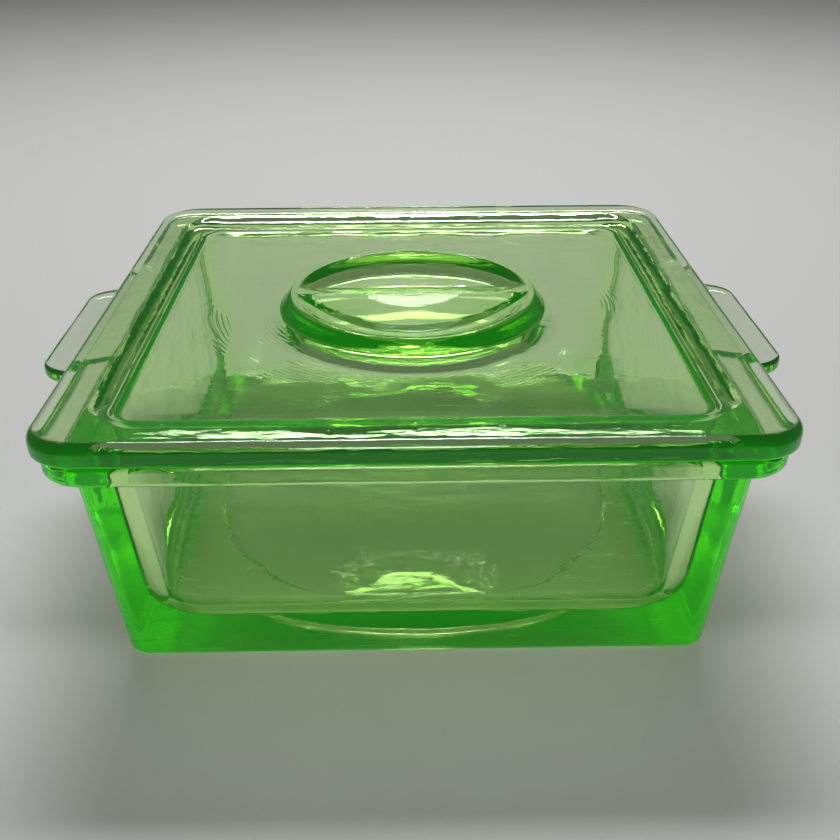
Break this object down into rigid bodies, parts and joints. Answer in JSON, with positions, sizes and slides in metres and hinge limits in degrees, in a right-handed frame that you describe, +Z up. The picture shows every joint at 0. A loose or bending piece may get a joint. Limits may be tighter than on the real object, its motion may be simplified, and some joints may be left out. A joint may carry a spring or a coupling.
{
  "type": "glass storage dish",
  "caption": "Square pressed-glass food storage dish with side finger tabs and a lift-off lid whose round grip is a finger well with a bar across it.",
  "frame": {"origin": "on the table under the middle of the dish, at the bottom of its base", "axes": "+Z up, the way the lid lifts; +X through the two side tabs, to the right of a viewer at the front; +Y away from that viewer"},
  "size_m": [0.1732, 0.15, 0.0608],
  "materials": {
    "green_glass": "fire-polished pressed glass, clear green"
  },
  "bodies": {
    "dish": {"dish": "green_glass"},
    "lid": {"lid": "green_glass"}
  },
  "joints": [
    {"name": "lid_lift", "type": "slide", "parent": "dish", "child": "lid", "axis": [0, 0, 1], "range_m": [0, 0.035]}
  ]
}
